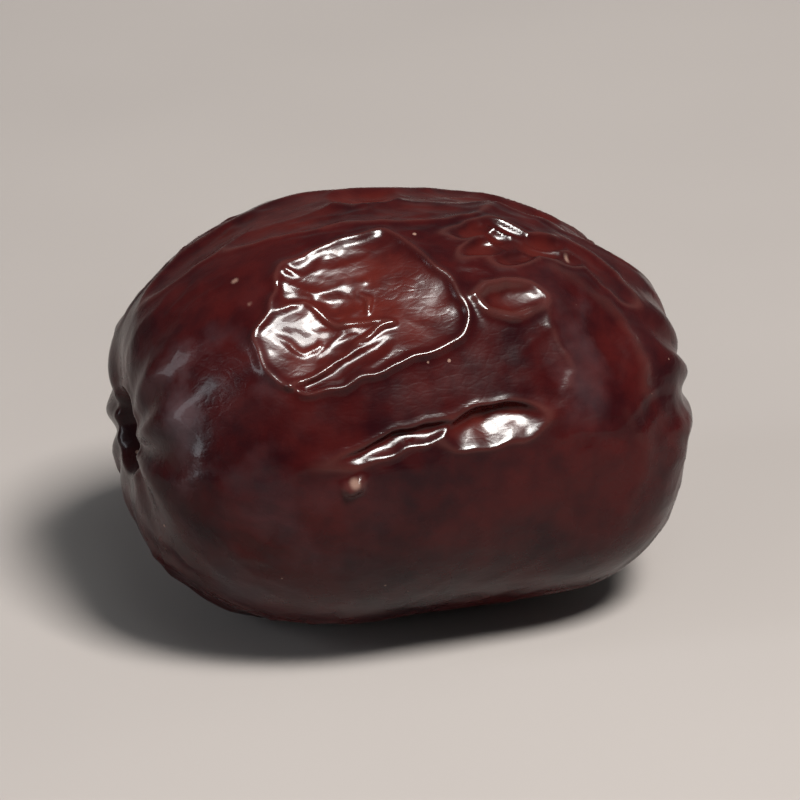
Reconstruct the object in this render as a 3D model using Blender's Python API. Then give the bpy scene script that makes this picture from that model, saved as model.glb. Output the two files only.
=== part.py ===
"""A dried jujube lying on its side: one fruit, grown and dried as one solid.

The long axis runs along X, with the stalk end at -X, and +Z is up. The flesh shrank under a skin that
didn't, so the surface is a plump blunt body less the dents that the skin sank into, with raised
creases left between them. The origin is on the surface it rests on, under the middle of the fruit.
"""

import math
from collections import namedtuple

import bmesh
import bpy
import numpy as np
from mathutils import Matrix, Vector, noise

MM = 0.001

# Plump body, in millimetres, before it shrank
LENGTH = 27.0
WIDTH = 20.8
HEIGHT = 20.0
END_POWER = 2.7
ROUND_POWER = 2.12
TAPER = 0.05
LUMP_SIZE = 8.0
LUMP_HEIGHT = 0.32
SAG = 1.0
BULGE_PLACE = (9.5, -50)
BULGE_SIZE = 5.5
BULGE_HEIGHT = 1.1

# Surface grid: cells along each side of the cube that it grows from. They are smaller by these shares
# at both ends, and round the place at the front with the finest folds.
CELLS = 31
END_FINENESS = 0.3
FRONT_FINENESS = 0.3
FRONT_MIDDLE = (-0.2, -0.72, 0.67)

# Places on the body: so far along X from the middle, and so many degrees round the X axis, from 0 at
# the front over 90 at the top. Turn is the slant of a long side, upwards towards +X where it is seen
# from the front. Bend is how much it curves, and lean how far its floor sinks towards its upper side.
# A ridge runs over such places, and a patch makes the skin round one slack (1) or tight (0).
Dent = namedtuple("Dent", "along around length width turn depth bend lean", defaults=(0.0, 0.0))
Ridge = namedtuple("Ridge", "corners height width", defaults=(0.34,))
Patch = namedtuple("Patch", "along around radius slack")

# The broad bowl at the front, by the corners of its crease, and the folds inside it
BOWL_CORNERS = (
    (-6.3, 72),
    (-0.9, 77),
    (0.5, 70),
    (0.9, 60),
    (2.1, 51),
    (1.3, 42),
    (-0.4, 37),
    (-6.6, 30),
    (-7.9, 38),
    (-8.2, 48),
)
BOWL_DEPTH = 1.0
BOWL_SLOPE = 2.7
BOWL_ROUNDING = 0.32
BOWL_CREST = 0.12
BOWL_CREST_WIDTH = 0.46
BOWL_FOLDS = (
    Dent(-6.5, 62, 2.6, 1.3, -30, 0.16),
    Dent(-4.4, 57, 2.4, 1.5, -20, 0.18),
    Dent(-6.1, 48, 3.4, 2.2, 10, 0.10),
    Dent(-4.4, 43, 3.4, 1.1, 14, 0.12),
    Dent(-4.8, 36, 6.0, 1.1, 20, 0.24),
)
RIDGES = (
    Ridge(((-6.2, 70), (-4.2, 64), (-2.7, 61.5)), 0.20),
    Ridge(((-3.2, 59), (-2.7, 55), (-2.9, 51)), 0.15),
    Ridge(((-7.3, 57), (-6.0, 59), (-5.6, 55), (-4.6, 50), (-2.3, 46)), 0.16),
    Ridge(((-7.3, 33.5), (-5.1, 38), (-3.7, 43), (-2.2, 45.5)), 0.22),
    Ridge(((-7.6, 50), (-6.4, 44), (-5.6, 46)), 0.12),
    Ridge(((2.05, 50), (2.6, 53.8), (3.8, 55.6), (5.0, 54.4), (5.55, 50.8)), 0.22, 0.28),
    Ridge(((5.55, 50.8), (5.1, 47.0), (3.8, 45.0), (2.6, 46.4), (2.05, 50)), 0.22, 0.28),
    Ridge(((-4.9, 5.6), (-4.5, 6.4)), 0.40, 0.34),
    Ridge(((5.4, 46), (5.9, 38), (6.5, 31), (6.0, 26)), 0.11, 0.24),
    Ridge(((6.8, 62), (9.4, 52), (10.4, 36), (10.6, 20)), 0.10, 0.6),
    Ridge(((9.0, 14), (9.6, 0), (8.6, -18)), 0.06, 0.5),
)

# The other dents of the front, top and right shoulder. From the second to the ninth they crumple a
# patch between the bowl and the right shoulder.
FRONT_DENTS = (
    Dent(3.8, 50, 3.4, 2.1, 4, 0.32),
    Dent(3.2, 76.5, 2.8, 1.3, 24, 0.36, 0.15),
    Dent(5.0, 78.5, 2.6, 1.1, -28, 0.32, -0.10),
    Dent(6.7, 75.5, 3.2, 1.3, 14, 0.38, 0.10),
    Dent(4.4, 72.5, 2.4, 1.4, -34, 0.40),
    Dent(3.4, 68.5, 2.6, 1.2, 10, 0.34, -0.15),
    Dent(6.0, 70.5, 3.0, 1.4, -12, 0.42, 0.10),
    Dent(7.9, 70, 2.0, 1.0, 30, 0.24),
    Dent(5.0, 65, 2.8, 1.2, 20, 0.34, 0.10),
    Dent(-2.4, 15.5, 6.0, 0.9, 12, 0.34, 0.0, 0.5),
    Dent(2.0, 16.5, 5.2, 2.1, 5, 0.56, 0.0, 0.7),
    Dent(9.6, 70, 5.4, 2.2, -40, 0.18, 0.02),
    Dent(0.9, 91, 7.4, 3.0, 6, 0.20),
    Dent(-4.8, 93, 7.0, 2.6, -6, 0.22),
)

# Broad hollows of the front, with no crease round them
HOLLOWS = (
    Dent(-1.6, 24, 12.5, 4.8, 8, 0.24),
    Dent(3.6, 31, 8.0, 4.8, -4, 0.30),
    Dent(8.2, 34, 6.0, 3.4, 76, 0.22),
    Dent(11.0, 14, 8.0, 2.6, 84, 0.16),
    Dent(-10.4, 48, 6.0, 3.6, 70, 0.10),
    Dent(6.4, -14, 9.0, 4.0, 20, 0.12),
)
HOLLOW_ROUNDING = 0.07

# Dents over the back, top and underside follow a spiral
SPIRAL_DENTS = 46
SPIRAL_TURN = 137.5
SPIRAL_FROM = 106.0
SPIRAL_TO = 326.0
SPIRAL_LENGTHS = (5.0, 10.0)
SPIRAL_WIDTHS = (1.8, 4.4)
SPIRAL_SLANT = 26.0
SPIRAL_DEPTHS = (0.30, 0.72)
SPIRAL_BEND = 0.02
SPIRAL_SEED = 7

# Small folds stretched along the fruit, deep only where the skin is slack
SMALL_FOLDS = 620
SMALL_FOLD_LENGTH = 3.0
SMALL_FOLD_WIDTH = 1.2
SMALL_FOLD_SLANT = 32.0
SMALL_FOLD_DEPTH = 0.13
SMALL_FOLD_ENDS = 0.97
SLACK_SIZE = 5.0
SLACK_CONTRAST = 1.6
PATCHES = (
    Patch(-9.0, 40, 6.0, 0.0),
    Patch(-3.0, 0, 7.5, 0.05),
    Patch(4.0, -12, 8.0, 0.12),
    Patch(0.0, 22, 5.5, 0.05),
    Patch(5.0, 72, 3.0, 0.7),
    Patch(3.4, 34, 4.0, 0.05),
    Patch(-0.6, 84, 4.5, 0.6),
    Patch(-5.4, 52, 2.8, 0.5),
    Patch(-0.7, 58, 2.4, 0.03),
    Patch(9.0, 38, 5.5, 0.35),
)

# Shape of every dent: rounded creases, flat-bottomed rather than bowl-shaped, and pointed ends
CREASE_ROUNDING = 0.05
SMALL_ROUNDING = 0.04
FLOOR_POWER = 1.3
POINT_POWER = 1.7
CREASE_HEIGHT = 0.07
CREASE_WIDTH = 0.36

# Wandering of the creases, and where in the noise each use of it starts
WANDER_SIZE = 3.2
WANDER = 0.40
FINE_WANDER_SIZE = 1.1
FINE_WANDER = 0.17
NOISE_PLACES = {"wander": 11.0, "fine wander": 17.0, "lumps": 3.0, "slack": 5.0}
WANDER_PARTS = (0.0, 37.0, 71.0)

# Stalk end: a drawn-in shoulder, a cup with a lip, and the dry stub of the stalk
SHOULDER_RADIUS = 3.7
SHOULDER_DEPTH = 0.75
CUP_RADIUS = 1.75
CUP_DEPTH = 1.7
CUP_WALL = 0.16
LIP_RADIUS = 2.15
LIP_WIDTH = 0.3
LIP_HEIGHT = 0.14
STUB_RADIUS = 0.70
STUB_TIP_RADIUS = 0.52
STUB_HEIGHT = 0.85
STUB_ROOT = 0.8
STUB_SIDES = 12

# Blossom end, and the pleats that run into both ends
TIP_RADIUS = 2.1
TIP_DEPTH = 0.55
SCAR_RADIUS = 0.5
SCAR_DEPTH = 0.35
PLEATS = 9
PLEAT_HEIGHT = 0.2
PLEAT_RADIUS = 4.6
PLEAT_WIDTH = 2.7

# Resting spot, and how far round it the skin stays full
SPOT_CUT = 0.16
SPOT_CALM = 6.0

SKIN_COLOUR = (0.075, 0.012, 0.011, 1.0)
SKIN_ROUGHNESS = 0.3


def tapered(x):
    """How much wider the body is at x than in the middle."""
    return 1.0 - TAPER * x / (LENGTH / 2)


def body_points(directions):
    """Where rays from the middle leave the plump body."""
    x, y, z = np.abs(directions).T
    section = (y / (WIDTH / 2)) ** ROUND_POWER + (z / (HEIGHT / 2)) ** ROUND_POWER
    reach = (x / (LENGTH / 2)) ** END_POWER + section ** (END_POWER / ROUND_POWER)
    points = directions * (reach ** (-1.0 / END_POWER))[:, None]
    points[:, 1:] *= tapered(points[:, :1])
    return points


def body_normals(points):
    """Outward directions of the plump body, from the gradient of its formula."""
    x, y, z = points.T
    y_part = (np.abs(y) / (WIDTH / 2)) ** ROUND_POWER
    z_part = (np.abs(z) / (HEIGHT / 2)) ** ROUND_POWER
    section = np.maximum(y_part + z_part, 1e-9) ** (END_POWER / ROUND_POWER - 1.0)
    halves = np.array((LENGTH, WIDTH, HEIGHT)) / 2
    powers = np.array((END_POWER, ROUND_POWER, ROUND_POWER)) - 1.0
    slopes = np.sign(points) * (np.abs(points) / halves) ** powers / halves
    slopes[:, 1:] *= section[:, None]
    return slopes / np.linalg.norm(slopes, axis=1)[:, None]


def body_place(along, around):
    """The point of the plump body at a place given by its distance along and its angle round."""
    angle = math.radians(around)
    inside = (1.0 - abs(along / (LENGTH / 2)) ** END_POWER) ** (1.0 / END_POWER)
    y_part = (abs(math.cos(angle)) / (WIDTH / 2)) ** ROUND_POWER
    z_part = (abs(math.sin(angle)) / (HEIGHT / 2)) ** ROUND_POWER
    radius = inside * tapered(along) * (y_part + z_part) ** (-1.0 / ROUND_POWER)
    return np.array((along, -radius * math.cos(angle), radius * math.sin(angle)))


def wander(points, size, place):
    """A smooth offset for each point, with features of that size."""
    starts = [Vector((NOISE_PLACES[place], part, 0)) for part in WANDER_PARTS]
    return np.array([[noise.noise(Vector(point) / size + start) for start in starts] for point in points])


def swell(points, size, place):
    """A smooth number from about -1 to 1 for each point, with features of that size."""
    start = Vector((0, NOISE_PLACES[place], 0))
    return np.array([noise.noise(Vector(point) / size + start) for point in points])


def sag(points):
    """How far the upper side has sunk between its middle and both ends."""
    share = (np.abs(points[:, 0]) / (LENGTH / 2)) ** 3
    return SAG * 4.0 * share * (1.0 - share) * np.clip(points[:, 2] / (HEIGHT / 2), 0.0, 1.0)


def bulge(points):
    """How far the low right shoulder swells out."""
    away = ((points - body_place(*BULGE_PLACE)) ** 2).sum(1)
    return BULGE_HEIGHT * np.exp(-away / BULGE_SIZE**2)


def spiral_dents():
    """Dents over the back, top and underside, one after another along a spiral."""
    draw = np.random.default_rng(SPIRAL_SEED)
    found = []
    for i in range(SPIRAL_DENTS):
        along = LENGTH * 0.42 * (1.0 - 2.0 * (i + 0.5) / SPIRAL_DENTS)
        around = SPIRAL_FROM + (i * SPIRAL_TURN) % (SPIRAL_TO - SPIRAL_FROM)
        length, width = draw.uniform(*SPIRAL_LENGTHS), draw.uniform(*SPIRAL_WIDTHS)
        turn = draw.uniform(-SPIRAL_SLANT, SPIRAL_SLANT)
        depth, bend = draw.uniform(*SPIRAL_DEPTHS), draw.uniform(-SPIRAL_BEND, SPIRAL_BEND)
        found.append(Dent(along, around, length, width, turn, depth, bend))
    return found


def small_folds():
    """Little dents over the whole fruit, spread evenly by a spiral."""
    draw = np.random.default_rng(SPIRAL_SEED + 1)
    found = []
    for i in range(SMALL_FOLDS):
        along = LENGTH / 2 * SMALL_FOLD_ENDS * (1.0 - 2.0 * (i + 0.5) / SMALL_FOLDS)
        around = (i * SPIRAL_TURN) % 360.0
        length = draw.uniform(0.7, 1.4) * SMALL_FOLD_LENGTH
        width = draw.uniform(0.7, 1.4) * SMALL_FOLD_WIDTH
        turn = draw.uniform(-SMALL_FOLD_SLANT, SMALL_FOLD_SLANT)
        found.append(Dent(along, around, length, width, turn, SMALL_FOLD_DEPTH, 0.0))
    return found


def dent_frame(dent):
    """The middle of a dent on the plump body, and the directions along, across and out of it."""
    middle = body_place(dent.along, dent.around)
    out = body_normals(middle[None])[0]
    level = np.array((1.0, 0.0, 0.0)) - out[0] * out
    level /= np.linalg.norm(level)
    turn = math.radians(dent.turn)
    along = math.cos(turn) * level + math.sin(turn) * np.cross(out, level)
    return middle, along, np.cross(out, along), out


def add_dent(points, dent, rounding, total, rim):
    """Adds a dent to the sum that depth is taken from, and keeps how far inside its edge points are."""
    middle, along, across, out = dent_frame(dent)
    offset = points - middle
    near = np.flatnonzero((offset**2).sum(1) < dent.length**2)
    offset = offset[near]
    run = offset @ along
    side = offset @ across - dent.bend * run**2
    spread = np.abs(2 * run / dent.length) ** POINT_POWER + (2 * side / dent.width) ** 2
    spread += (offset @ out / dent.width) ** 2
    depth = dent.depth * (1.0 - spread**FLOOR_POWER)
    depth *= 1.0 + dent.lean * np.clip(2 * side / dent.width, -1.0, 1.0)
    total[near] += np.exp(np.clip(depth / rounding, -60.0, 60.0))
    rim[near] = np.maximum(rim[near], (1.0 - np.sqrt(spread)) * dent.width / 2)


def bowl_depth(points):
    """How far inside the crease of the broad front bowl each point is, and how deep the bowl is there."""
    x, y, z = points.T
    radius = WIDTH / 2
    flat = np.column_stack((x, np.arctan2(z, -y) * radius))
    corners = [np.array((along, math.radians(around) * radius)) for along, around in BOWL_CORNERS]
    closeness = np.zeros(len(points))
    for corner, following in zip(corners, corners[1:] + corners[:1]):
        edge = (following - corner) / np.linalg.norm(following - corner)
        inward = np.array((edge[1], -edge[0]))
        closeness += np.exp(np.clip(-((flat - corner) @ inward) / BOWL_ROUNDING, -60.0, 60.0))
    inside = -BOWL_ROUNDING * np.log(closeness)
    return inside, BOWL_DEPTH * (1.0 - np.exp(np.clip(-inside / BOWL_SLOPE, -60.0, 3.0)))


def sunken(points, dents, rounding, crest=0.0, total=1.0, rim=-LENGTH):
    """How far each point moves out for a set of dents: down into them, and up on their crests.

    Total and rim are the sum of depths and how far inside an edge each point is, before these dents.
    """
    total, rim = total * np.ones(len(points)), rim * np.ones(len(points))
    for dent in dents:
        add_dent(points, dent, rounding, total, rim)
    crease = np.exp(-(((rim + CREASE_WIDTH / 2) / CREASE_WIDTH) ** 2))
    return crest * crease - rounding * np.log(total)


def raised(points, ridges):
    """How far each point moves out for thin pinched ridges that run from corner to corner."""
    found = np.zeros(len(points))
    for ridge in ridges:
        corners = [body_place(*corner) for corner in ridge.corners]
        for start, stop in zip(corners, corners[1:]):
            run = stop - start
            share = np.clip((points - start) @ run / (run @ run), 0.0, 1.0)
            away = ((points - start - share[:, None] * run) ** 2).sum(1)
            found = np.maximum(found, ridge.height * np.exp(-away / ridge.width**2))
    return found


def slackness(points):
    """How loose the skin is, from 0 to 1: patches at the front, and chance elsewhere."""
    found = np.clip(0.5 + SLACK_CONTRAST * swell(points, SLACK_SIZE, "slack"), 0.0, 1.0)
    for patch in PATCHES:
        offset = points - body_place(patch.along, patch.around)
        share = np.exp(-((offset**2).sum(1) / patch.radius**2) ** 2)
        found += share * (patch.slack - found)
    return found


def end_relief(points):
    """The stalk cup with its lip and shoulder, the blossom dimple, and the pleats of both ends."""
    x, y, z = points.T
    from_axis = np.hypot(y, z)
    angle = np.arctan2(z, y)
    cup = CUP_DEPTH / (1.0 + np.exp((from_axis - CUP_RADIUS) / CUP_WALL))
    lip = LIP_HEIGHT * np.exp(-(((from_axis - LIP_RADIUS) / LIP_WIDTH) ** 2))
    shoulder = SHOULDER_DEPTH * np.exp(-((from_axis / SHOULDER_RADIUS) ** 2))
    tip = TIP_DEPTH * np.exp(-((from_axis / TIP_RADIUS) ** 2))
    tip += SCAR_DEPTH * np.exp(-((from_axis / SCAR_RADIUS) ** 2))
    ring = np.exp(-(((from_axis - PLEAT_RADIUS) / PLEAT_WIDTH) ** 2))
    ring *= np.clip((np.abs(x) / (LENGTH / 2) - 0.6) / 0.3, 0.0, 1.0) * np.clip(from_axis - 1.2, 0.0, 1.0)
    ring *= 0.7 + 0.5 * np.sin(2 * angle + 0.4 * from_axis)
    pleat = PLEAT_HEIGHT * ring * np.cos(PLEATS * angle + 2.2 * np.sin(2 * angle + 0.3 * from_axis))
    return pleat + np.where(x < 0, lip - cup - shoulder, -tip)


def fruit_points(directions):
    """The dried surface: the plump body, less its dents, with its ends drawn in."""
    smooth = body_points(directions)
    wandered = smooth + WANDER * wander(smooth, WANDER_SIZE, "wander")
    wandered += FINE_WANDER * wander(smooth, FINE_WANDER_SIZE, "fine wander")
    relief = LUMP_HEIGHT * swell(smooth, LUMP_SIZE, "lumps") - sag(smooth) + bulge(smooth)
    inside, depth = bowl_depth(wandered)
    relief += BOWL_CREST * np.exp(-((inside / BOWL_CREST_WIDTH + 0.5) ** 2))
    bowl = 1.0 + np.exp(depth / CREASE_ROUNDING)
    large = (*FRONT_DENTS, *spiral_dents())
    relief += sunken(wandered, large, CREASE_ROUNDING, CREASE_HEIGHT, bowl, inside)
    relief += sunken(wandered, HOLLOWS, HOLLOW_ROUNDING)
    relief += sunken(wandered, BOWL_FOLDS, SMALL_ROUNDING)
    relief += slackness(smooth) * sunken(wandered, small_folds(), SMALL_ROUNDING)
    relief += raised(wandered, RIDGES)
    under = np.exp(-(smooth[:, 0] ** 2 + smooth[:, 1] ** 2) / SPOT_CALM**2) * (smooth[:, 2] < 0)
    relief = relief * (1.0 - under) + end_relief(smooth)
    return smooth + body_normals(smooth) * relief[:, None]


def gathered(directions):
    """Directions drawn together round the middle of the front, and apart behind."""
    middle = Vector(FRONT_MIDDLE).normalized()
    ahead = directions @ np.array(middle)
    side = directions - ahead[:, None] * np.array(middle)
    side /= np.maximum(np.linalg.norm(side, axis=1), 1e-9)[:, None]
    half = np.tan(np.arccos(np.clip(ahead, -1.0, 1.0)) / 2) * (1.0 - FRONT_FINENESS)
    turned = 2 * np.arctan(half)[:, None]
    return np.cos(turned) * np.array(middle) + np.sin(turned) * side


def even_ball(cells):
    """A closed ball of even quads, a little smaller at both ends: a cube's grid, blown out round."""
    ball = bmesh.new()
    bmesh.ops.create_cube(ball, size=2.0)
    bmesh.ops.subdivide_edges(ball, edges=ball.edges, cuts=cells - 1, use_grid_fill=True)
    for vert in ball.verts:
        x, y, z = vert.co
        pull = 1.0 - END_FINENESS * (1.0 - y * y) * (1.0 - z * z) * (abs(x) > 0.9999)
        cube = (x, y * pull, z * pull)
        vert.co = Vector([math.tan(c * math.pi / 4) for c in cube]).normalized()
    return ball


def cut_spot(ball):
    """Cuts off what bulges below the floor, which leaves the resting spot."""
    everything = [*ball.verts, *ball.edges, *ball.faces]
    cut = bmesh.ops.bisect_plane(ball, geom=everything, plane_no=(0, 0, -1), clear_outer=True, dist=1e-7)
    edges = [item for item in cut["geom_cut"] if isinstance(item, bmesh.types.BMEdge)]
    bmesh.ops.contextual_create(ball, geom=edges)
    bmesh.ops.recalc_face_normals(ball, faces=ball.faces)


def make_fruit(cells):
    """The fruit without its stub, in metres, and the bottom of its stalk cup."""
    ball = even_ball(cells)
    directions = gathered(np.array([vert.co for vert in ball.verts]))
    points = fruit_points(np.vstack((directions, (-1.0, 0.0, 0.0))))
    middle = (points.min(axis=0) + points.max(axis=0)) / 2
    middle[2] = points[:, 2].min() + SPOT_CUT
    points = (points - middle) * MM
    for vert, point in zip(ball.verts, points):
        vert.co = Vector(point)
    cut_spot(ball)
    return ball, Vector(points[-1])


def make_stub(seat):
    """The dry stub of the stalk, standing in the bottom of the cup."""
    stub = bmesh.new()
    height = (STUB_ROOT + STUB_HEIGHT) * MM
    radii = {"radius1": STUB_RADIUS * MM, "radius2": STUB_TIP_RADIUS * MM}
    bmesh.ops.create_cone(stub, segments=STUB_SIDES, cap_ends=True, depth=height, **radii)
    bmesh.ops.rotate(stub, verts=stub.verts, matrix=Matrix.Rotation(math.radians(-90), 3, "Y"))
    shift = Vector(((STUB_ROOT - STUB_HEIGHT) / 2 * MM, 0, 0))
    bmesh.ops.translate(stub, verts=stub.verts, vec=seat + shift)
    return stub


def link_mesh(name, shape):
    """An object from a bmesh, in the scene."""
    mesh = bpy.data.meshes.new(name)
    shape.to_mesh(mesh)
    shape.free()
    made = bpy.data.objects.new(name, mesh)
    bpy.context.scene.collection.objects.link(made)
    return made


def join(body, piece):
    """Grows the piece onto the body, as one solid."""
    union = body.modifiers.new("stub", "BOOLEAN")
    union.operation = "UNION"
    union.solver = "EXACT"
    union.object = piece
    bpy.context.view_layer.objects.active = body
    bpy.ops.object.modifier_apply(modifier=union.name)
    bpy.data.objects.remove(piece)


def skin_material():
    """Dark maroon skin, as shiny as waxed leather."""
    made = bpy.data.materials.new("jujube skin")
    made.use_nodes = True
    shader = made.node_tree.nodes["Principled BSDF"]
    shader.inputs["Base Color"].default_value = SKIN_COLOUR
    shader.inputs["Roughness"].default_value = SKIN_ROUGHNESS
    shader.inputs["Metallic"].default_value = 0.0
    return made


def main():
    for old in list(bpy.data.objects):
        bpy.data.objects.remove(old)
    ball, seat = make_fruit(CELLS)
    fruit = link_mesh("jujube", ball)
    join(fruit, link_mesh("stub", make_stub(seat)))
    fruit.data.materials.clear()
    fruit.data.materials.append(skin_material())
    fruit.data.shade_smooth()


if __name__ == "__main__":
    main()
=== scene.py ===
import math
from collections import namedtuple

import bmesh
import bpy
import numpy as np
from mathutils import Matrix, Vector, noise


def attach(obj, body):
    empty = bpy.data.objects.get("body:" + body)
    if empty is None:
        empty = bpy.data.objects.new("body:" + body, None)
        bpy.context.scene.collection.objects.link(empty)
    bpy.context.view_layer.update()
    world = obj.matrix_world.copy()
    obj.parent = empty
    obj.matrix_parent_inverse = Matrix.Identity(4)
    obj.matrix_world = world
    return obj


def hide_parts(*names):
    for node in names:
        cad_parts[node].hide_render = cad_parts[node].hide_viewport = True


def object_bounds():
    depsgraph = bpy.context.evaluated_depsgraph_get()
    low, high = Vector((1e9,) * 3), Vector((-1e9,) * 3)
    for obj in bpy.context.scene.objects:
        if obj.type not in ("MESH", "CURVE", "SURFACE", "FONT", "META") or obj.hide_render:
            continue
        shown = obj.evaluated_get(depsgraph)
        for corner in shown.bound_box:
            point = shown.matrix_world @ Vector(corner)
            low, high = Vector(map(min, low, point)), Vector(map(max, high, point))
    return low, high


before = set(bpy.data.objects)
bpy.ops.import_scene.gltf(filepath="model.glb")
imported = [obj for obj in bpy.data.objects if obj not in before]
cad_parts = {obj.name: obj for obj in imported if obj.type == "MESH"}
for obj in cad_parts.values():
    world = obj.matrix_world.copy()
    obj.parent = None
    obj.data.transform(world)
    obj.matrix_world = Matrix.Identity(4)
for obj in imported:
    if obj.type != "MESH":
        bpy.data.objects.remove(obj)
cad_low, cad_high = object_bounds()

# Flesh and skin
# A ripe jujube dried whole. The flesh shrank round the stone, and the skin, too large for it by then,
# sank into dents with raised creases between them. The fruit lies on its side, stalk end at -X.

MM = 0.001

# Plump body, in millimetres, before it shrank
LENGTH = 27.0
WIDTH = 20.8
HEIGHT = 20.0
END_POWER = 2.7
ROUND_POWER = 2.12
TAPER = 0.05
LUMP_SIZE = 8.0
LUMP_HEIGHT = 0.32
SAG = 1.0
BULGE_PLACE = (9.5, -50)
BULGE_SIZE = 5.5
BULGE_HEIGHT = 1.1

# Surface grid: cells along each side of the cube that it grows from. They are smaller by these shares
# at both ends, the cube's faces from END_FACE outwards, and round the front place with the finest folds.
SKIN_CELLS = 127
END_FACE = 0.9999
END_FINENESS = 0.3
FRONT_FINENESS = 0.3
FRONT_MIDDLE = (-0.2, -0.72, 0.67)

# Places on the body: so far along X from the middle, and so many degrees round the X axis, from 0 at
# the front over 90 at the top. Turn is the slant of a long side, upwards towards +X where it is seen
# from the front. Bend is how much it curves, and lean how far its floor sinks towards its upper side.
# A ridge runs over such places. A patch gives the ground round one a strength from 0 to 1.
Dent = namedtuple("Dent", "along around length width turn depth bend lean", defaults=(0.0, 0.0))
Ridge = namedtuple("Ridge", "corners height width", defaults=(0.16,))
Patch = namedtuple("Patch", "along around radius strength")

# The broad bowl at the front, by the corners of its crease, and the folds inside it
BOWL_CORNERS = (
    (-6.3, 72),
    (-0.9, 77),
    (0.5, 70),
    (0.9, 60),
    (2.1, 51),
    (1.3, 42),
    (-0.4, 37),
    (-6.6, 30),
    (-7.9, 38),
    (-8.2, 48),
)
BOWL_DEPTH = 1.0
BOWL_SLOPE = 2.7
BOWL_ROUNDING = 0.16
BOWL_CREST = 0.13
BOWL_CREST_WIDTH = 0.28
BOWL_FOLDS = (
    Dent(-6.5, 62, 2.6, 1.3, -30, 0.16),
    Dent(-4.4, 57, 2.4, 1.5, -20, 0.18),
    Dent(-6.1, 48, 3.4, 2.2, 10, 0.10),
    Dent(-4.4, 43, 3.4, 1.1, 14, 0.12),
    Dent(-4.8, 36, 6.0, 1.1, 20, 0.24),
)
RIDGES = (
    Ridge(((-6.2, 70), (-4.2, 64), (-2.7, 61.5)), 0.20),
    Ridge(((-3.2, 59), (-2.7, 55), (-2.9, 51)), 0.15),
    Ridge(((-7.3, 57), (-6.0, 59), (-5.6, 55), (-4.6, 50), (-2.3, 46)), 0.16),
    Ridge(((-7.3, 33.5), (-5.1, 38), (-3.7, 43), (-2.2, 45.5)), 0.22),
    Ridge(((-7.6, 50), (-6.4, 44), (-5.6, 46)), 0.12),
    Ridge(((2.05, 50), (2.6, 53.8), (3.8, 55.6), (5.0, 54.4), (5.55, 50.8)), 0.22, 0.28),
    Ridge(((5.55, 50.8), (5.1, 47.0), (3.8, 45.0), (2.6, 46.4), (2.05, 50)), 0.22, 0.28),
    Ridge(((-4.9, 5.6), (-4.5, 6.4)), 0.40, 0.34),
    Ridge(((5.4, 46), (5.9, 38), (6.5, 31), (6.0, 26)), 0.11, 0.24),
    Ridge(((6.8, 62), (9.4, 52), (10.4, 36), (10.6, 20)), 0.10, 0.6),
    Ridge(((9.0, 14), (9.6, 0), (8.6, -18)), 0.06, 0.5),
)

# The other dents of the front, top and right shoulder. From the second to the ninth they crumple a
# patch between the bowl and the right shoulder.
FRONT_DENTS = (
    Dent(3.8, 50, 3.4, 2.1, 4, 0.32),
    Dent(3.2, 76.5, 2.8, 1.3, 24, 0.36, 0.15),
    Dent(5.0, 78.5, 2.6, 1.1, -28, 0.32, -0.10),
    Dent(6.7, 75.5, 3.2, 1.3, 14, 0.38, 0.10),
    Dent(4.4, 72.5, 2.4, 1.4, -34, 0.40),
    Dent(3.4, 68.5, 2.6, 1.2, 10, 0.34, -0.15),
    Dent(6.0, 70.5, 3.0, 1.4, -12, 0.42, 0.10),
    Dent(7.9, 70, 2.0, 1.0, 30, 0.24),
    Dent(5.0, 65, 2.8, 1.2, 20, 0.34, 0.10),
    Dent(-2.4, 15.5, 6.0, 0.9, 12, 0.34, 0.0, 0.5),
    Dent(2.0, 16.5, 5.2, 2.1, 5, 0.56, 0.0, 0.7),
    Dent(9.6, 70, 5.4, 2.2, -40, 0.18, 0.02),
    Dent(0.9, 91, 7.4, 3.0, 6, 0.20),
    Dent(-4.8, 93, 7.0, 2.6, -6, 0.22),
)

# Broad hollows of the front, with no crease round them
HOLLOWS = (
    Dent(-1.6, 24, 12.5, 4.8, 8, 0.24),
    Dent(3.6, 31, 8.0, 4.8, -4, 0.30),
    Dent(8.2, 34, 6.0, 3.4, 76, 0.22),
    Dent(11.0, 14, 8.0, 2.6, 84, 0.16),
    Dent(-10.4, 48, 6.0, 3.6, 70, 0.10),
    Dent(6.4, -14, 9.0, 4.0, 20, 0.12),
)
HOLLOW_ROUNDING = 0.07

# Dents over the back, top and underside follow a spiral. Its reach either way is a share of the length.
SPIRAL_DENTS = 46
SPIRAL_TURN = 137.5
SPIRAL_FROM = 106.0
SPIRAL_TO = 326.0
SPIRAL_REACH = 0.42
SPIRAL_LENGTHS = (5.0, 10.0)
SPIRAL_WIDTHS = (1.8, 4.4)
SPIRAL_SLANT = 26.0
SPIRAL_DEPTHS = (0.30, 0.72)
SPIRAL_BEND = 0.02
SPIRAL_SEED = 7

# Small folds stretched along the fruit, deep only where the skin is slack. The patches give how slack
# it is, and chance decides elsewhere.
SMALL_FOLDS = 620
SMALL_FOLD_LENGTH = 3.0
SMALL_FOLD_WIDTH = 1.2
SMALL_FOLD_SLANT = 32.0
SMALL_FOLD_DEPTH = 0.13
SMALL_FOLD_ENDS = 0.97
SMALL_FOLD_SPREAD = (0.7, 1.4)
SLACK_SIZE = 5.0
SLACK_CONTRAST = 1.6
PATCHES = (
    Patch(-9.0, 40, 6.0, 0.0),
    Patch(-3.0, 0, 7.5, 0.05),
    Patch(4.0, -12, 8.0, 0.12),
    Patch(0.0, 22, 5.5, 0.05),
    Patch(5.0, 72, 3.0, 0.7),
    Patch(3.4, 34, 4.0, 0.05),
    Patch(-0.6, 84, 4.5, 0.6),
    Patch(-5.4, 52, 2.8, 0.5),
    Patch(-0.7, 58, 2.4, 0.03),
    Patch(9.0, 38, 5.5, 0.35),
)

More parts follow.
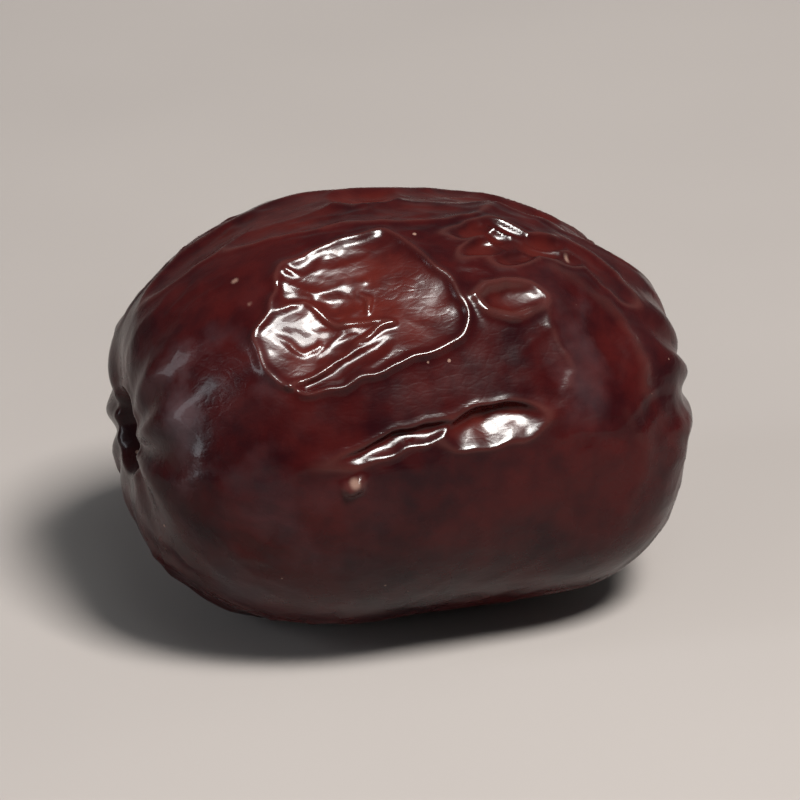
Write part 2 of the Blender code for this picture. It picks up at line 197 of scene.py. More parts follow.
# Shape of every dent: rounded creases, flat-bottomed rather than bowl-shaped, and pointed ends
CREASE_ROUNDING = 0.028
SMALL_ROUNDING = 0.02
FLOOR_POWER = 1.3
POINT_POWER = 1.7
CREASE_HEIGHT = 0.07
CREASE_WIDTH = 0.18

# Largest ratios that still count: of a depth or distance to its rounding, and of how far a point lies
# outside the bowl to the bowl's slope
EXPONENT_LIMIT = 60.0
OUTER_LIMIT = 3.0

# Wandering of the creases, and where in the noise each use of it starts
WANDER_SIZE = 3.2
WANDER = 0.40
FINE_WANDER_SIZE = 1.1
FINE_WANDER = 0.17
NOISE_PLACES = {"wander": 11.0, "fine wander": 17.0, "lumps": 3.0, "slack": 5.0}
WANDER_PARTS = (0.0, 37.0, 71.0)

# Stalk end: a drawn-in shoulder, and a cup with a lip
SHOULDER_RADIUS = 3.7
SHOULDER_DEPTH = 0.75
CUP_RADIUS = 1.75
CUP_DEPTH = 1.7
CUP_WALL = 0.16
LIP_RADIUS = 2.15
LIP_WIDTH = 0.3
LIP_HEIGHT = 0.14

# Blossom end
TIP_RADIUS = 2.1
TIP_DEPTH = 0.55
SCAR_RADIUS = 0.5
SCAR_DEPTH = 0.35

# Pleats that run into both ends. They fade in over a share of half the length and stop short of the
# axis. They are higher on two sides, and crowd together there by so many radians.
PLEATS = 9
PLEAT_HEIGHT = 0.2
PLEAT_RADIUS = 4.6
PLEAT_WIDTH = 2.7
PLEAT_FROM = 0.6
PLEAT_FADE = 0.3
PLEAT_INNER = 1.2
PLEAT_MEAN = 0.7
PLEAT_SWING = 0.5
PLEAT_SWING_TWIST = 0.4
PLEAT_CROWDING = 2.2
PLEAT_CROWDING_TWIST = 0.3

# Resting spot, and how far round it the skin stays full
SPOT_CUT = 0.16
SPOT_CALM = 6.0


def tapered(x):
    """How much wider the body is at x than in the middle."""
    return 1.0 - TAPER * x / (LENGTH / 2)


def body_points(directions):
    """Where rays from the middle leave the plump body."""
    x, y, z = np.abs(directions).T
    section = (y / (WIDTH / 2)) ** ROUND_POWER + (z / (HEIGHT / 2)) ** ROUND_POWER
    reach = (x / (LENGTH / 2)) ** END_POWER + section ** (END_POWER / ROUND_POWER)
    points = directions * (reach ** (-1.0 / END_POWER))[:, None]
    points[:, 1:] *= tapered(points[:, :1])
    return points


def body_normals(points):
    """Outward directions of the plump body, from the gradient of its formula."""
    x, y, z = points.T
    y_part = (np.abs(y) / (WIDTH / 2)) ** ROUND_POWER
    z_part = (np.abs(z) / (HEIGHT / 2)) ** ROUND_POWER
    section = np.maximum(y_part + z_part, 1e-9) ** (END_POWER / ROUND_POWER - 1.0)
    halves = np.array((LENGTH, WIDTH, HEIGHT)) / 2
    powers = np.array((END_POWER, ROUND_POWER, ROUND_POWER)) - 1.0
    slopes = np.sign(points) * (np.abs(points) / halves) ** powers / halves
    slopes[:, 1:] *= section[:, None]
    return slopes / np.linalg.norm(slopes, axis=1)[:, None]


def body_place(along, around):
    """The point of the plump body at a place given by its distance along and its angle round."""
    angle = math.radians(around)
    inside = (1.0 - abs(along / (LENGTH / 2)) ** END_POWER) ** (1.0 / END_POWER)
    y_part = (abs(math.cos(angle)) / (WIDTH / 2)) ** ROUND_POWER
    z_part = (abs(math.sin(angle)) / (HEIGHT / 2)) ** ROUND_POWER
    radius = inside * tapered(along) * (y_part + z_part) ** (-1.0 / ROUND_POWER)
    return np.array((along, -radius * math.cos(angle), radius * math.sin(angle)))


def wander(points, size, place):
    """A smooth offset for each point, with features of that size."""
    starts = [Vector((NOISE_PLACES[place], part, 0)) for part in WANDER_PARTS]
    return np.array([[noise.noise(Vector(point) / size + start) for start in starts] for point in points])


def swell(points, size, place):
    """A smooth number from about -1 to 1 for each point, with features of that size."""
    start = Vector((0, NOISE_PLACES[place], 0))
    return np.array([noise.noise(Vector(point) / size + start) for point in points])


def sag(points):
    """How far the upper side has sunk between its middle and both ends."""
    share = (np.abs(points[:, 0]) / (LENGTH / 2)) ** 3
    return SAG * 4.0 * share * (1.0 - share) * np.clip(points[:, 2] / (HEIGHT / 2), 0.0, 1.0)


def bulge(points):
    """How far the low right shoulder swells out."""
    away = ((points - body_place(*BULGE_PLACE)) ** 2).sum(1)
    return BULGE_HEIGHT * np.exp(-away / BULGE_SIZE**2)


def spiral_dents():
    """Dents over the back, top and underside, one after another along a spiral."""
    draw = np.random.default_rng(SPIRAL_SEED)
    found = []
    for i in range(SPIRAL_DENTS):
        along = LENGTH * SPIRAL_REACH * (1.0 - 2.0 * (i + 0.5) / SPIRAL_DENTS)
        around = SPIRAL_FROM + (i * SPIRAL_TURN) % (SPIRAL_TO - SPIRAL_FROM)
        length, width = draw.uniform(*SPIRAL_LENGTHS), draw.uniform(*SPIRAL_WIDTHS)
        turn = draw.uniform(-SPIRAL_SLANT, SPIRAL_SLANT)
        depth, bend = draw.uniform(*SPIRAL_DEPTHS), draw.uniform(-SPIRAL_BEND, SPIRAL_BEND)
        found.append(Dent(along, around, length, width, turn, depth, bend))
    return found


def small_folds():
    """Little dents over the whole fruit, spread evenly by a spiral."""
    draw = np.random.default_rng(SPIRAL_SEED + 1)
    found = []
    for i in range(SMALL_FOLDS):
        along = LENGTH / 2 * SMALL_FOLD_ENDS * (1.0 - 2.0 * (i + 0.5) / SMALL_FOLDS)
        around = (i * SPIRAL_TURN) % 360.0
        length = draw.uniform(*SMALL_FOLD_SPREAD) * SMALL_FOLD_LENGTH
        width = draw.uniform(*SMALL_FOLD_SPREAD) * SMALL_FOLD_WIDTH
        turn = draw.uniform(-SMALL_FOLD_SLANT, SMALL_FOLD_SLANT)
        found.append(Dent(along, around, length, width, turn, SMALL_FOLD_DEPTH, 0.0))
    return found


def dent_frame(dent):
    """The middle of a dent on the plump body, and the directions along, across and out of it."""
    middle = body_place(dent.along, dent.around)
    out = body_normals(middle[None])[0]
    level = np.array((1.0, 0.0, 0.0)) - out[0] * out
    level /= np.linalg.norm(level)
    turn = math.radians(dent.turn)
    along = math.cos(turn) * level + math.sin(turn) * np.cross(out, level)
    return middle, along, np.cross(out, along), out


def add_dent(points, dent, rounding, total, rim):
    """Adds a dent to the sum that depth is taken from, and keeps how far inside its edge points are."""
    middle, along, across, out = dent_frame(dent)
    offset = points - middle
    near = np.flatnonzero((offset**2).sum(1) < dent.length**2)
    offset = offset[near]
    run = offset @ along
    side = offset @ across - dent.bend * run**2
    spread = np.abs(2 * run / dent.length) ** POINT_POWER + (2 * side / dent.width) ** 2
    spread += (offset @ out / dent.width) ** 2
    depth = dent.depth * (1.0 - spread**FLOOR_POWER)
    depth *= 1.0 + dent.lean * np.clip(2 * side / dent.width, -1.0, 1.0)
    total[near] += np.exp(np.clip(depth / rounding, -EXPONENT_LIMIT, EXPONENT_LIMIT))
    rim[near] = np.maximum(rim[near], (1.0 - np.sqrt(spread)) * dent.width / 2)


def bowl_depth(points):
    """How far inside the crease of the broad front bowl each point is, and how deep the bowl is there."""
    x, y, z = points.T
    radius = WIDTH / 2
    flat = np.column_stack((x, np.arctan2(z, -y) * radius))
    corners = [np.array((along, math.radians(around) * radius)) for along, around in BOWL_CORNERS]
    closeness = np.zeros(len(points))
    for corner, following in zip(corners, corners[1:] + corners[:1]):
        edge = (following - corner) / np.linalg.norm(following - corner)
        inward = np.array((edge[1], -edge[0]))
        outside = -((flat - corner) @ inward) / BOWL_ROUNDING
        closeness += np.exp(np.clip(outside, -EXPONENT_LIMIT, EXPONENT_LIMIT))
    inside = -BOWL_ROUNDING * np.log(closeness)
    fall = np.exp(np.clip(-inside / BOWL_SLOPE, -EXPONENT_LIMIT, OUTER_LIMIT))
    return inside, BOWL_DEPTH * (1.0 - fall)


def sunken(points, dents, rounding, crest=0.0, total=1.0, rim=-LENGTH):
    """For a set of dents: how far each point moves out, and how close it is to a crest, from 0 to 1.

    Total and rim are the sum of depths and how far inside an edge each point is, before these dents.
    """
    total, rim = total * np.ones(len(points)), rim * np.ones(len(points))
    for dent in dents:
        add_dent(points, dent, rounding, total, rim)
    crease = np.exp(-(((rim + CREASE_WIDTH / 2) / CREASE_WIDTH) ** 2))
    return crest * crease - rounding * np.log(total), crease


def raised(points, ridges):
    """How far each point moves out for thin pinched ridges that run from corner to corner."""
    found = np.zeros(len(points))
    for ridge in ridges:
        corners = [body_place(*corner) for corner in ridge.corners]
        for start, stop in zip(corners, corners[1:]):
            run = stop - start
            share = np.clip((points - start) @ run / (run @ run), 0.0, 1.0)
            away = ((points - start - share[:, None] * run) ** 2).sum(1)
            found = np.maximum(found, ridge.height * np.exp(-away / ridge.width**2))
    return found


def slackness(points):
    """How loose the skin is, from 0 to 1: patches at the front, and chance elsewhere."""
    found = np.clip(0.5 + SLACK_CONTRAST * swell(points, SLACK_SIZE, "slack"), 0.0, 1.0)
    for patch in PATCHES:
        offset = points - body_place(patch.along, patch.around)
        share = np.exp(-((offset**2).sum(1) / patch.radius**2) ** 2)
        found += share * (patch.strength - found)
    return found


def end_relief(points):
    """The stalk cup with its lip and shoulder, the blossom dimple, and the pleats of both ends."""
    x, y, z = points.T
    from_axis = np.hypot(y, z)
    angle = np.arctan2(z, y)
    cup = CUP_DEPTH / (1.0 + np.exp((from_axis - CUP_RADIUS) / CUP_WALL))
    lip = LIP_HEIGHT * np.exp(-(((from_axis - LIP_RADIUS) / LIP_WIDTH) ** 2))
    shoulder = SHOULDER_DEPTH * np.exp(-((from_axis / SHOULDER_RADIUS) ** 2))
    tip = TIP_DEPTH * np.exp(-((from_axis / TIP_RADIUS) ** 2))
    tip += SCAR_DEPTH * np.exp(-((from_axis / SCAR_RADIUS) ** 2))
    ring = np.exp(-(((from_axis - PLEAT_RADIUS) / PLEAT_WIDTH) ** 2))
    ring *= np.clip((np.abs(x) / (LENGTH / 2) - PLEAT_FROM) / PLEAT_FADE, 0.0, 1.0)
    ring *= np.clip(from_axis - PLEAT_INNER, 0.0, 1.0)
    ring *= PLEAT_MEAN + PLEAT_SWING * np.sin(2 * angle + PLEAT_SWING_TWIST * from_axis)
    crowding = PLEAT_CROWDING * np.sin(2 * angle + PLEAT_CROWDING_TWIST * from_axis)
    pleat = PLEAT_HEIGHT * ring * np.cos(PLEATS * angle + crowding)
    return pleat + np.where(x < 0, lip - cup - shoulder, -tip)


# Where the grey bloom of the skin has not been rubbed off, with painted sheen laid on in the same pale
# patches at the left end and right shoulder, and the larger corky spots of the front
BLOOM_AND_SHEEN_PATCHES = (
    Patch(-11.6, 32, 3.6, 1.0),
    Patch(-9.0, -30, 6.0, 0.45),
    Patch(8.2, 42, 2.6, 0.5),
    Patch(6.6, 22, 2.0, 0.4),
)
CORKY_SPOTS = (
    Patch(-4.7, 6.0, 0.30, 0.8),
    Patch(-8.6, 74, 0.24, 0.7),
    Patch(7.9, 71, 0.24, 0.8),
    Patch(-8.3, 62, 0.20, 0.5),
)

# Skin is drawn thin over a dent, in full where it is this deep. That fades out over the last few
# millimetres before THIN_END, near both ends.
THIN_DEPTH = 0.6
THIN_END = 11.76
THIN_FADE = 4.2

# A pinched ridge counts as a crease by its height times the gain, less the start. A dent's own crease
# is worn only close to its crest, which the power narrows.
RIDGE_GAIN = 9.0
RIDGE_START = 0.3
CREST_POWER = 4


def patch_strength(points, patches):
    """How strongly each point lies in any of the patches, from 0 to 1."""
    found = np.zeros(len(points))
    for patch in patches:
        offset = points - body_place(patch.along, patch.around)
        found = np.maximum(found, patch.strength * np.exp(-(offset**2).sum(1) / patch.radius**2))
    return found


def finish_masks(smooth, sunk, crests, pinched, slack, folded):
    """Masks from 0 to 1 for the finish: creases, thin skin over dents, slack skin, bloom with painted
    sheen, and cork.
    """
    ridges = np.clip(RIDGE_GAIN * pinched - RIDGE_START, 0.0, 1.0)
    fade = np.clip((THIN_END - np.abs(smooth[:, 0])) / THIN_FADE, 0.0, 1.0)
    return {
        "crease": np.maximum(crests**CREST_POWER, ridges) * folded,
        "thin": np.clip(-sunk / THIN_DEPTH, 0.0, 1.0) * fade,
        "slack": slack * folded,
        # Part bloom, part painted sheen
        "bloom_and_sheen": patch_strength(smooth, BLOOM_AND_SHEEN_PATCHES),
        "cork": patch_strength(smooth, CORKY_SPOTS),
    }


def fruit_points(directions):
    """The dried surface, the plump body less its dents, and the masks for its finish."""
    smooth = body_points(directions)
    wandered = smooth + WANDER * wander(smooth, WANDER_SIZE, "wander")
    wandered += FINE_WANDER * wander(smooth, FINE_WANDER_SIZE, "fine wander")
    inside, depth = bowl_depth(wandered)
    lip = BOWL_CREST * np.exp(-((inside / BOWL_CREST_WIDTH + 0.5) ** 2))
    bowl = 1.0 + np.exp(depth / CREASE_ROUNDING)
    large = (*FRONT_DENTS, *spiral_dents())
    main, crests = sunken(wandered, large, CREASE_ROUNDING, CREASE_HEIGHT, bowl, inside)
    hollows = sunken(wandered, HOLLOWS, HOLLOW_ROUNDING)[0]
    bowl_folds = sunken(wandered, BOWL_FOLDS, SMALL_ROUNDING)[0]
    small = sunken(wandered, small_folds(), SMALL_ROUNDING)[0]
    slack = slackness(smooth)
    under = np.exp(-(smooth[:, 0] ** 2 + smooth[:, 1] ** 2) / SPOT_CALM**2) * (smooth[:, 2] < 0)
    pinched = raised(wandered, RIDGES)
    relief = LUMP_HEIGHT * swell(smooth, LUMP_SIZE, "lumps") - sag(smooth) + bulge(smooth)
    relief += main + lip + hollows + bowl_folds + slack * small + pinched
    relief = relief * (1.0 - under) + end_relief(smooth)
    masks = finish_masks(smooth, main, crests, pinched, slack, 1.0 - under)
    return smooth + body_normals(smooth) * relief[:, None], masks


def gathered(directions):
    """Directions drawn together round the middle of the front, and apart behind."""
    middle = Vector(FRONT_MIDDLE).normalized()
    ahead = directions @ np.array(middle)
    side = directions - ahead[:, None] * np.array(middle)
    side /= np.maximum(np.linalg.norm(side, axis=1), 1e-9)[:, None]
    half = np.tan(np.arccos(np.clip(ahead, -1.0, 1.0)) / 2) * (1.0 - FRONT_FINENESS)
    turned = 2 * np.arctan(half)[:, None]
    return np.cos(turned) * np.array(middle) + np.sin(turned) * side


def even_ball(cells):
    """A closed ball of even quads, a little smaller at both ends: a cube's grid, blown out round."""
    ball = bmesh.new()
    bmesh.ops.create_cube(ball, size=2.0)
    bmesh.ops.subdivide_edges(ball, edges=ball.edges, cuts=cells - 1, use_grid_fill=True)
    for vert in ball.verts:
        x, y, z = vert.co
        pull = 1.0 - END_FINENESS * (1.0 - y * y) * (1.0 - z * z) * (abs(x) > END_FACE)
        cube = (x, y * pull, z * pull)
        vert.co = Vector([math.tan(c * math.pi / 4) for c in cube]).normalized()
    return ball


def cut_spot(ball):
    """Cuts off what bulges below the floor, which leaves the resting spot."""
    everything = [*ball.verts, *ball.edges, *ball.faces]
    cut = bmesh.ops.bisect_plane(ball, geom=everything, plane_no=(0, 0, -1), clear_outer=True, dist=1e-7)
    edges = [item for item in cut["geom_cut"] if isinstance(item, bmesh.types.BMEdge)]
    bmesh.ops.contextual_create(ball, geom=edges)
    bmesh.ops.recalc_face_normals(ball, faces=ball.faces)


def make_skin(cells):
    """The fruit's surface as a mesh with its masks, and the bottom of its stalk cup."""
    ball = even_ball(cells)
    directions = gathered(np.array([vert.co for vert in ball.verts]))
    points, masks = fruit_points(np.vstack((directions, (-1.0, 0.0, 0.0))))
    middle = (points.min(axis=0) + points.max(axis=0)) / 2
    middle[2] = points[:, 2].min() + SPOT_CUT
    points = (points - middle) * MM
    for name, values in masks.items():
        layer = ball.verts.layers.float.new(name)
        for vert, value in zip(ball.verts, values):
            vert[layer] = value
    for vert, point in zip(ball.verts, points):
        vert.co = Vector(point)
    cut_spot(ball)
    mesh = bpy.data.meshes.new("skin")
    ball.to_mesh(mesh)
    ball.free()
    return mesh, Vector(points[-1])


# Fine relief of the skin, in millimetres: leathery grain everywhere, and crackle where it is slack. Both
# are drawn out along the fruit, and a noise with so many waves to a millimetre keeps them from running
# straight. Close to the floor nothing moves, so that the resting spot stays flat.
CRACKLE_SIZE = 0.95
CRACKLE_DEPTH = 0.02
CRACKLE_STRETCH = 0.55
CRACKLE_FURROW = 0.22
CRACKLE_DRIFT = 0.9
GRAIN_SIZE = 0.55
GRAIN_DEPTH = 0.008
FLOOR_CLEARANCE = 0.02


def add_node(tree, kind, inputs=None, **settings):
    """A new node in a tree. Its inputs are values, or outputs of other nodes to link."""
    made = tree.nodes.new(kind)
    for name, value in settings.items():
        setattr(made, name, value)
    for name, value in (inputs or {}).items():
        if isinstance(value, bpy.types.NodeSocket):
            tree.links.new(value, made.inputs[name])
        else:
            made.inputs[name].default_value = value
    return made


def add_maths(tree, operation, first, second=0.0):
    """The output of a Math node."""
    return add_node(tree, "ShaderNodeMath", {0: first, 1: second}, operation=operation).outputs[0]


def add_vectors(tree, operation, first, second):
    """The output of a Vector Math node. To scale a vector, the second value is a number."""
    inputs = {0: first, "Scale" if operation == "SCALE" else 1: second}
    return add_node(tree, "ShaderNodeVectorMath", inputs, operation=operation).outputs[0]


def add_range(tree, value, low, high, to_low=0.0, to_high=1.0):
    """The output of a smooth Map Range node."""
    inputs = {"Value": value, "From Min": low, "From Max": high, "To Min": to_low, "To Max": to_high}
    made = add_node(tree, "ShaderNodeMapRange", inputs, interpolation_type="SMOOTHSTEP")
    return made.outputs["Result"]


def add_sockets(tree, inputs, outputs):
    """Named sockets of a node group: the inputs with their kinds and usual values, and the outputs."""
    for name, (kind, value) in inputs.items():
        socket = tree.interface.new_socket(name, in_out="INPUT", socket_type=kind)
        if value is not None:
            socket.default_value = value
    for name, kind in outputs.items():
        tree.interface.new_socket(name, in_out="OUTPUT", socket_type=kind)
    return tree.nodes.new("NodeGroupInput").outputs, tree.nodes.new("NodeGroupOutput").inputs


def end_tree(tree, geometry, given, result):
    """Ends a geometry nodes tree with smooth shading, real geometry and the given material."""
    smooth = add_node(tree, "GeometryNodeSetShadeSmooth", {"Geometry": geometry}).outputs[0]
    real = add_node(tree, "GeometryNodeRealizeInstances", {"Geometry": smooth}).outputs[0]
    finish = {"Geometry": real, "Material": given["Material"]}
    tree.links.new(add_node(tree, "GeometryNodeSetMaterial", finish).outputs[0], result["Geometry"])


def add_crackle(tree, drawn, given):
    """How deep the crackle is at each point: furrows between stretched cells, where the skin is slack."""
    cells = {"Vector": drawn, "Scale": add_maths(tree, "DIVIDE", 1.0, given["Crackle size"])}
    edges = add_node(tree, "ShaderNodeTexVoronoi", cells, feature="DISTANCE_TO_EDGE")
    furrow = add_range(tree, edges.outputs["Distance"], 0.0, CRACKLE_FURROW, 1.0, 0.0)
    slack = add_node(tree, "GeometryNodeInputNamedAttribute", {"Name": "slack"}, data_type="FLOAT")
    crackle = add_maths(tree, "MULTIPLY", furrow, given["Crackle depth"])
    return add_maths(tree, "MULTIPLY", crackle, slack.outputs["Attribute"])


def add_grain(tree, drawn, given):
    """How high the grain stands at each point, from minus to plus half its depth."""
    bumps = {"Vector": drawn, "Scale": add_maths(tree, "DIVIDE", 1.0, given["Grain size"]), "Detail": 2.0}
    grain = add_node(tree, "ShaderNodeTexNoise", bumps).outputs["Fac"]
    return add_maths(tree, "MULTIPLY", add_maths(tree, "SUBTRACT", 0.5, grain), given["Grain depth"])


def skin_relief_tree():
    """Geometry nodes that press crackle and grain into a mesh along its normals."""
    tree = bpy.data.node_groups.new("skin relief", "GeometryNodeTree")
    sizes = {
        "Geometry": ("NodeSocketGeometry", None),
        "Crackle size": ("NodeSocketFloat", 1.0),
        "Crackle depth": ("NodeSocketFloat", 0.1),
        "Stretch": ("NodeSocketFloat", 0.5),
        "Grain size": ("NodeSocketFloat", 1.0),
        "Grain depth": ("NodeSocketFloat", 0.1),
        "Material": ("NodeSocketMaterial", None),
    }
    given, result = add_sockets(tree, sizes, {"Geometry": "NodeSocketGeometry"})
    place = add_node(tree, "GeometryNodeInputPosition").outputs[0]
    in_mm = add_vectors(tree, "SCALE", place, 1 / MM)
    drift = {"Vector": in_mm, "Scale": CRACKLE_DRIFT, "Detail": 1.0}
    drift = add_node(tree, "ShaderNodeTexNoise", drift).outputs["Color"]
    stretch = add_node(tree, "ShaderNodeCombineXYZ", {"X": given["Stretch"], "Y": 1.0, "Z": 1.0})
    drawn = add_vectors(tree, "MULTIPLY", add_vectors(tree, "ADD", drift, in_mm), stretch.outputs[0])
    lift = add_maths(tree, "SUBTRACT", add_grain(tree, drawn, given), add_crackle(tree, drawn, given))
    normal = add_node(tree, "GeometryNodeInputNormal").outputs[0]
    offset = add_vectors(tree, "SCALE", normal, add_maths(tree, "MULTIPLY", lift, MM))
    height = add_node(tree, "ShaderNodeSeparateXYZ", {0: place}).outputs["Z"]
    above = add_maths(tree, "GREATER_THAN", height, FLOOR_CLEARANCE * MM)
    moved = {"Geometry": given["Geometry"], "Selection": above, "Offset": offset}
    end_tree(tree, add_node(tree, "GeometryNodeSetPosition", moved).outputs[0], given, result)
    return tree


def grow(name, mesh, tree, values):
    """An object from a mesh run through a geometry nodes tree, kept as a plain mesh."""
    start = bpy.data.objects.new(name, mesh)
    bpy.context.scene.collection.objects.link(start)
    modifier = start.modifiers.new(name, "NODES")
    modifier.node_group = tree
    for item in tree.interface.items_tree:
        if item.in_out == "INPUT" and item.name in values:
            modifier[item.identifier] = values[item.name]
    ready = start.evaluated_get(bpy.context.evaluated_depsgraph_get())
    grown = bpy.data.meshes.new_from_object(ready)
    start.modifiers.clear()
    start.data = grown
    return start


# The usual range of a noise, which is widened to 0 to 1. A fleck's edge starts at this share of its
# radius, and its radius is the given one times at least LEAST_FLECK.
NOISE_RANGE = (0.32, 0.68)
FLECK_EDGE = 0.6
LEAST_FLECK = 0.4


def uneven_group():
    """Shader nodes for a value that drifts between two limits over a surface."""
    tree = bpy.data.node_groups.new("uneven", "ShaderNodeTree")
    inputs = {
        "Vector": ("NodeSocketVector", None),
        "Size": ("NodeSocketFloat", 1.0),
        "Detail": ("NodeSocketFloat", 2.0),
        "Low": ("NodeSocketFloat", 0.0),
        "High": ("NodeSocketFloat", 1.0),
    }
    given, result = add_sockets(tree, inputs, {"Value": "NodeSocketFloat"})
    scale = add_maths(tree, "DIVIDE", 1.0, given["Size"])
    spots = {"Vector": given["Vector"], "Scale": scale, "Detail": given["Detail"]}
    raw = add_node(tree, "ShaderNodeTexNoise", spots).outputs["Fac"]
    tree.links.new(add_range(tree, raw, *NOISE_RANGE, given["Low"], given["High"]), result["Value"])
    return tree


def flecks_group():
    """Shader nodes for scattered round flecks: 1 inside a fleck and 0 outside."""
    tree = bpy.data.node_groups.new("flecks", "ShaderNodeTree")
    inputs = {
        "Vector": ("NodeSocketVector", None),
        "Spacing": ("NodeSocketFloat", 1.0),
        "Radius": ("NodeSocketFloat", 0.1),
        "Share": ("NodeSocketFloat", 0.5),
    }
    given, result = add_sockets(tree, inputs, {"Mask": "NodeSocketFloat"})
    scale = add_maths(tree, "DIVIDE", 1.0, given["Spacing"])
    cells = add_node(tree, "ShaderNodeTexVoronoi", {"Vector": given["Vector"], "Scale": scale})
    draw = add_node(tree, "ShaderNodeSeparateColor", {0: cells.outputs["Color"]}).outputs
    chosen = add_maths(tree, "LESS_THAN", draw["Red"], given["Share"])
    reach = add_maths(tree, "MULTIPLY", given["Radius"], add_maths(tree, "ADD", draw["Green"], LEAST_FLECK))
    away = add_maths(tree, "DIVIDE", cells.outputs["Distance"], add_maths(tree, "MULTIPLY", reach, scale))
    inside = add_range(tree, away, FLECK_EDGE, 1.0, 1.0, 0.0)
    tree.links.new(add_maths(tree, "MULTIPLY", inside, chosen), result["Mask"])
    return tree


UNEVEN = uneven_group()
FLECKS = flecks_group()


def new_material(name, values):
    """A material with its Principled shader set, and its own node tree to build on."""
    made = bpy.data.materials.new(name)
    made.use_nodes = True
    shader = made.node_tree.nodes["Principled BSDF"]
    for socket, value in values.items():
        shader.inputs[socket].default_value = value
    return made, made.node_tree, shader


def in_millimetres(tree):
    """The place on the object, in millimetres."""
    return add_vectors(tree, "SCALE", add_node(tree, "ShaderNodeTexCoord").outputs["Object"], 1 / MM)


def add_group(tree, group, inputs):
    """The only output of a shader node group placed in a tree."""
    return add_node(tree, "ShaderNodeGroup", inputs, node_tree=group).outputs[0]


def mark(tree, name):
    """A mask kept on the mesh."""
    return add_node(tree, "ShaderNodeAttribute", attribute_name=name).outputs["Fac"]


def mix_colours(tree, share, first, second):
    """The colour between two, by share."""
    colours = {0: share, 6: first, 7: second}
    return add_node(tree, "ShaderNodeMix", colours, data_type="RGBA").outputs[2]


# Colours of the skin, and how much the last three cover the others at their strongest
DEEP = (0.009, 0.0008, 0.0016, 1.0)
MAROON = (0.028, 0.0026, 0.0026, 1.0)
THIN_RED = (0.053, 0.0066, 0.0045, 1.0)
WORN = (0.12, 0.052, 0.044, 1.0)
# The bloom's pale grey, which also stands in for painted sheen
BLOOM_AND_SHEEN = (0.085, 0.062, 0.070, 1.0)
FLECK = (0.30, 0.19, 0.15, 1.0)
WORN_SHARE = 0.16
BLOOM_AND_SHEEN_SHARE = 0.36
FLECK_SHARE = 0.5

# Unevenness of the colours, with sizes in millimetres: clouds and a finer mottle between the first two
# colours, thin red that never fades out fully, broken bloom with painted sheen, and corky flecks
CLOUD_SIZE = 4.6
CLOUD_SHARE = 0.7
MOTTLE_SIZE = 1.3
MOTTLE_SHARE = 0.5
LEAST_THIN = 0.45
BLOOM_AND_SHEEN_SIZE = 3.2
BLOOM_AND_SHEEN_BARE = -0.4
FLECKS_USED = {"Spacing": 1.15, "Radius": 0.09, "Share": 0.22}
CORK_EDGE = (0.2, 0.8)

# Sheen of the wax on the skin: uneven, duller where the bloom and painted sheen lie, and sharper along the
# creases
WAX = {"Coat Weight": 0.08, "Coat Roughness": 0.08, "IOR": 1.32, "Specular IOR Level": 0.20}
SHEEN_SIZE = 2.2
ROUGHNESS = (0.19, 0.33)
BLOOM_AND_SHEEN_ROUGHER = 0.2
CREASE_SMOOTHER = 0.1

# Finest relief, drawn out along the fruit: crackle and grain by how many there are to a millimetre, and
# their heights in millimetres
FINE_STRETCH = (0.55, 1.0, 1.0)
FINE_CELLS = 2.6
FINE_FURROW = 0.2
FINE_FURROW_HEIGHT = -0.003
FINE_GRAIN = 3.0
FINE_GRAIN_HEIGHT = 0.016
FINE_STRENGTH = 0.8


def skin_colour(tree, place, bloom_and_sheen_amount):
    """Maroon, redder where the skin is drawn thin, worn along creases, with bloom and painted sheen, and
    corky flecks.
    """
    clouds = add_group(tree, UNEVEN, {"Vector": place, "Size": CLOUD_SIZE, "Detail": 4.0})
    mottle = {"Vector": place, "Size": MOTTLE_SIZE, "Detail": 4.0, "High": MOTTLE_SHARE}
    mottle = add_group(tree, UNEVEN, mottle)
    tone = add_maths(tree, "ADD", add_maths(tree, "MULTIPLY", clouds, CLOUD_SHARE), mottle)
    colour = mix_colours(tree, add_maths(tree, "MINIMUM", tone, 1.0), DEEP, MAROON)
    thin = add_maths(tree, "MULTIPLY", mark(tree, "thin"), add_maths(tree, "ADD", mottle, LEAST_THIN))
    colour = mix_colours(tree, thin, colour, THIN_RED)
    colour = mix_colours(tree, add_maths(tree, "MULTIPLY", mark(tree, "crease"), WORN_SHARE), colour, WORN)
    # Pale grey over the patches: part bloom, part painted sheen
    colour = mix_colours(tree, add_maths(tree, "MULTIPLY", bloom_and_sheen_amount, BLOOM_AND_SHEEN_SHARE), colour, BLOOM_AND_SHEEN)
    flecks = add_group(tree, FLECKS, {"Vector": place, **FLECKS_USED})
    cork = add_range(tree, mark(tree, "cork"), *CORK_EDGE, 0.0, FLECK_SHARE)
    flecks = add_maths(tree, "MAXIMUM", add_maths(tree, "MULTIPLY", flecks, FLECK_SHARE), cork)
    return mix_colours(tree, flecks, colour, FLECK)


def skin_roughness(tree, place, bloom_and_sheen_amount):
    """Uneven sheen, duller where the bloom and painted sheen lie, and sharper along the creases."""
    low, high = ROUGHNESS
    rough = {"Vector": place, "Size": SHEEN_SIZE, "Detail": 4.0, "Low": low, "High": high}
    rough = add_group(tree, UNEVEN, rough)
    rough = add_maths(tree, "ADD", rough, add_maths(tree, "MULTIPLY", bloom_and_sheen_amount, BLOOM_AND_SHEEN_ROUGHER))
    smoother = add_maths(tree, "MULTIPLY", mark(tree, "crease"), CREASE_SMOOTHER)
    return add_maths(tree, "SUBTRACT", rough, smoother)


